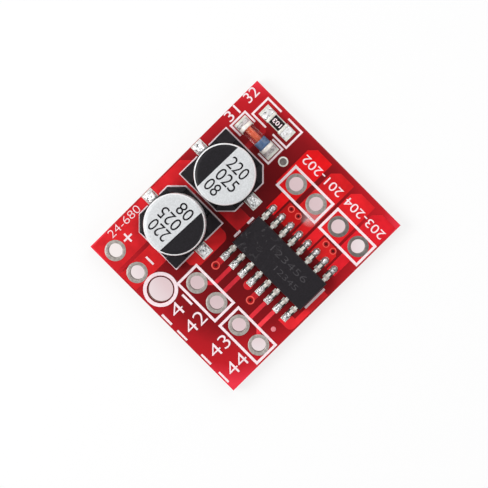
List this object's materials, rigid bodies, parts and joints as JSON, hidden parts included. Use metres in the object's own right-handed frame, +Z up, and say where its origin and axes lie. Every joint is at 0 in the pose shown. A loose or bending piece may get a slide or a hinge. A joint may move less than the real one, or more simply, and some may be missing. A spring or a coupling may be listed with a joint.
{
  "type": "dc motor driver module",
  "caption": "Small rectangular circuit board with a bridge driver chip and crimped can capacitors on its top, plated wire holes along its sides and one mounting hole.",
  "frame": {"origin": "centre of the board's underside, which is also the middle of its outline", "axes": "+X along the board's length, from the input holes towards the motor holes; +Y from the chip towards the capacitors; +Z up out of the component side"},
  "size_m": [0.0242, 0.021, 0.0071],
  "materials": {
    "red_board": "glass laminate under a glossy red solder mask",
    "tinned_copper": "tinned copper land",
    "masked_copper": "copper under a glossy red solder mask",
    "white_ink": "thin white screen ink",
    "chip_moulding": "fine matt black epoxy",
    "tinned_lead": "matt tin over copper",
    "solder": "bright reflowed solder",
    "clear_glass": "clear drawn glass",
    "blue_ink": "blue band of ink",
    "silicon": "dark silicon chip",
    "copper_plug": "copper-clad plug with a tinned head",
    "ceramic": "white alumina",
    "dark_glaze": "near-black glass glaze",
    "drawn_aluminium": "satin drawn aluminium",
    "base_moulding": "black heat-proof moulding"
  },
  "bodies": {
    "root": {"circuit_board": "red_board", "test_pad": "tinned_copper", "chip_lands": "tinned_copper", "capacitor_lands": "tinned_copper", "diode_lands": "tinned_copper", "resistor_lands": "tinned_copper", "supply_pour": "masked_copper", "ground_pour": "masked_copper", "input_trace_1": "masked_copper", "input_trace_2": "masked_copper", "input_trace_3": "masked_copper", "input_trace_4": "masked_copper", "chip_supply_stubs": "masked_copper", "spare_pin_copper": "masked_copper", "corner_pour": "masked_copper", "motor_field_1": "masked_copper", "motor_field_2": "masked_copper", "motor_field_3": "masked_copper", "motor_field_4": "masked_copper", "ground_block_front": "masked_copper", "ground_block_rear": "masked_copper", "diode_trace": "masked_copper", "legend_print": "white_ink", "chip_body": "chip_moulding", "chip_leads_left": "tinned_lead", "chip_leads_right": "tinned_lead", "chip_solder_left": "solder", "chip_solder_right": "solder", "diode_glass": "clear_glass", "diode_band": "blue_ink", "diode_die": "silicon", "diode_plugs": "copper_plug", "diode_solder": "solder", "resistor_chip": "ceramic", "resistor_ends": "tinned_lead", "resistor_glaze": "dark_glaze", "resistor_solder": "solder", "left_capacitor_can": "drawn_aluminium", "left_capacitor_base": "base_moulding", "left_capacitor_terminals": "tinned_lead", "left_capacitor_solder": "solder", "right_capacitor_can": "drawn_aluminium", "right_capacitor_base": "base_moulding", "right_capacitor_terminals": "tinned_lead", "right_capacitor_solder": "solder"}
  },
  "joints": []
}
